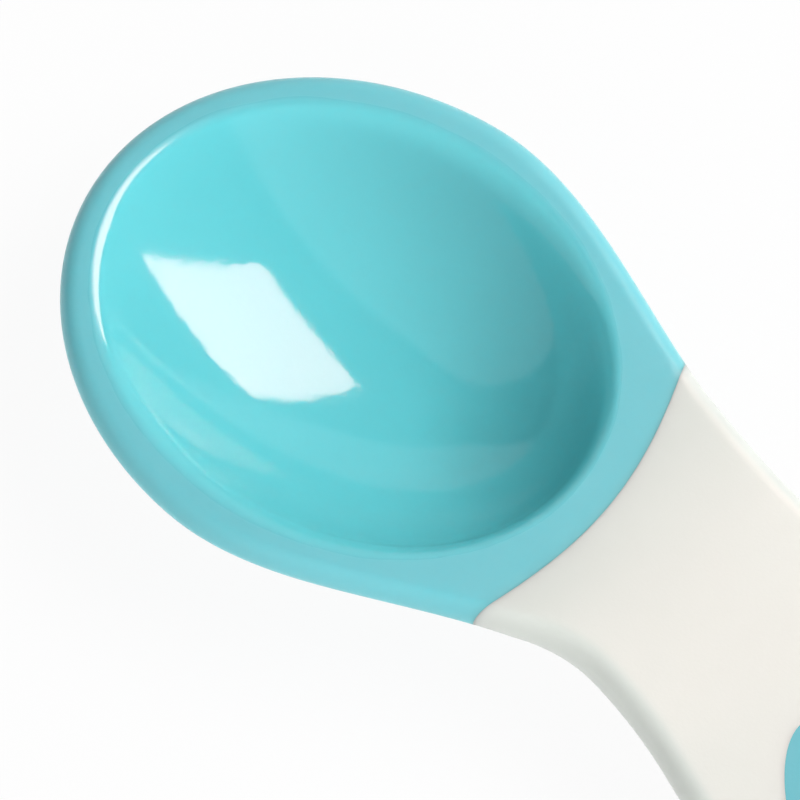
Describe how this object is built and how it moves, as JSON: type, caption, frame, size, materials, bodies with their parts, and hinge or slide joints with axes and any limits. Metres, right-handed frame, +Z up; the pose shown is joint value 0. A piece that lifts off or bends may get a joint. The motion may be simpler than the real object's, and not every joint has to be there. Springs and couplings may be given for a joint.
{
  "type": "baby spoon",
  "caption": "Toddler self-feeding spoon: a round deep-heeled bowl with a rolled rim, a sideways-bent moulded handle and a soft inlaid grip.",
  "frame": {"origin": "middle of the small flat under the bowl, on the table", "axes": "+X from the bowl towards the handle, +Z up out of the bowl"},
  "size_m": [0.1287, 0.0496, 0.0108],
  "materials": {
    "handle": "satin",
    "bowl": "gloss",
    "grip": "matte"
  },
  "bodies": {
    "root": {"handle": "handle", "bowl": "bowl", "grip": "grip"}
  },
  "joints": []
}
